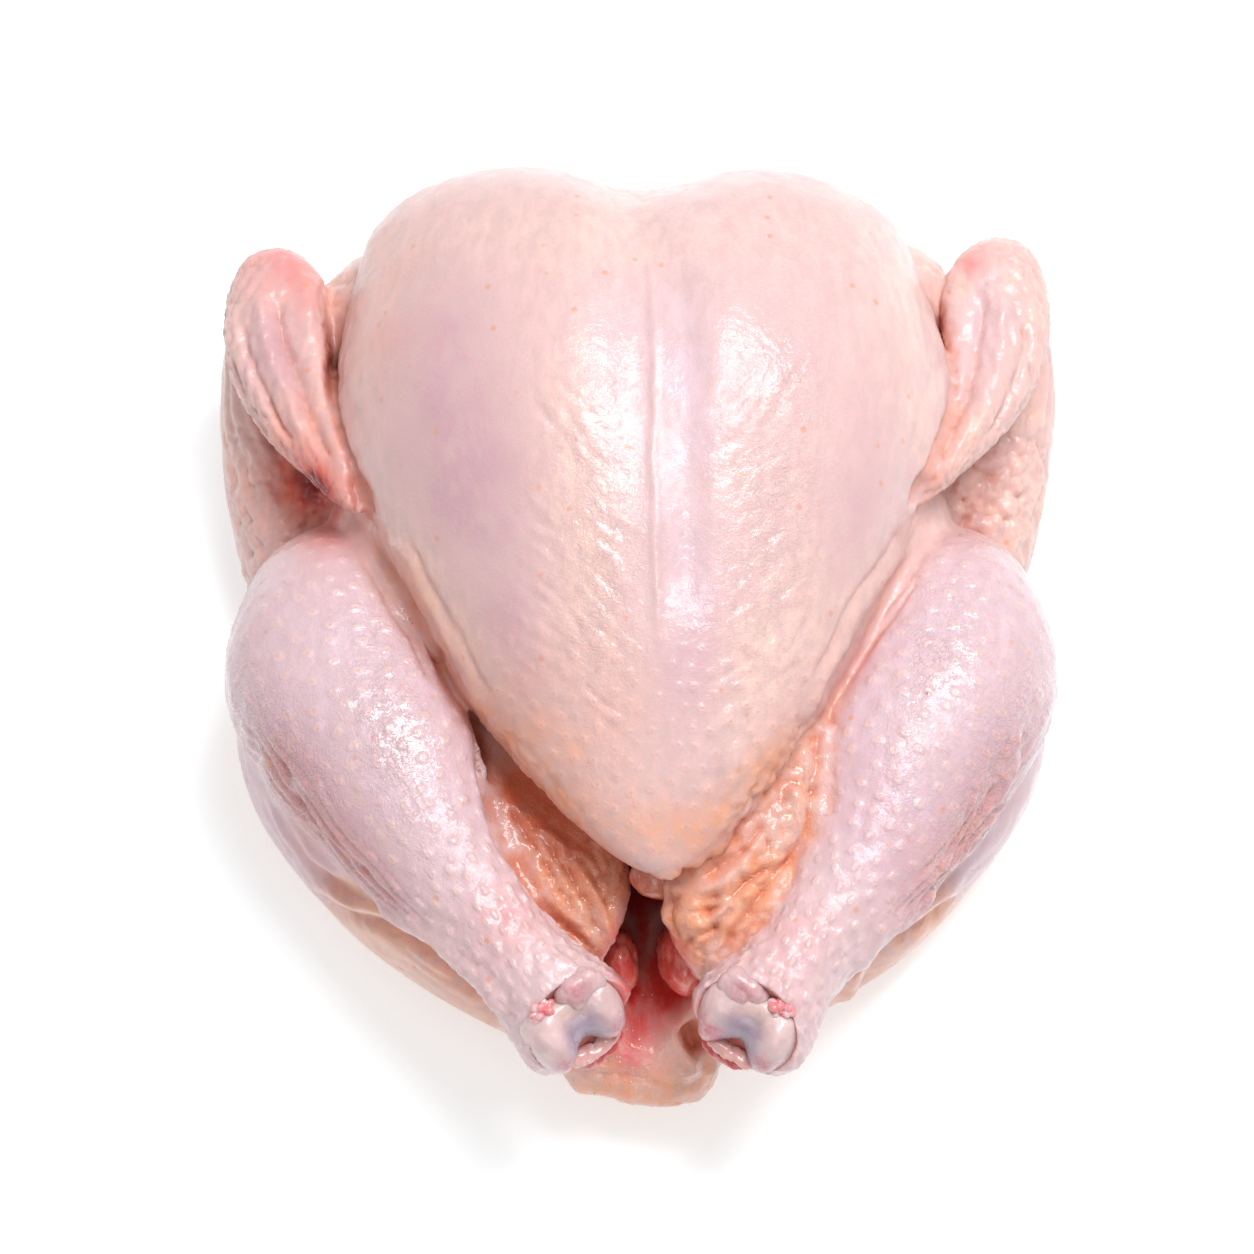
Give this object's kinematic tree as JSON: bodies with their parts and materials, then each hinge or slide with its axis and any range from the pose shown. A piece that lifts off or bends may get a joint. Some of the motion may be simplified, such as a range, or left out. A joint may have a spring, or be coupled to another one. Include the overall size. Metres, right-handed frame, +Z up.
{
  "type": "whole raw chicken",
  "caption": "Whole raw chicken lying on its back, untrussed, with rounded breast lobes, folded wings, legs cut at the hock and an open body cavity.",
  "frame": {"origin": "on the floor, under the middle of the box round the chicken", "axes": "+Y from the tail to the neck end, +Z up through the breast, +X to the right seen from the tail with the breast up"},
  "size_m": [0.21, 0.2336, 0.1071],
  "materials": {
    "skin": "moist raw skin with a soft gloss",
    "cartilage": "wet bluish cartilage"
  },
  "bodies": {
    "root": {"chicken": "skin", "hock_left": "cartilage", "hock_right": "cartilage"}
  },
  "joints": []
}
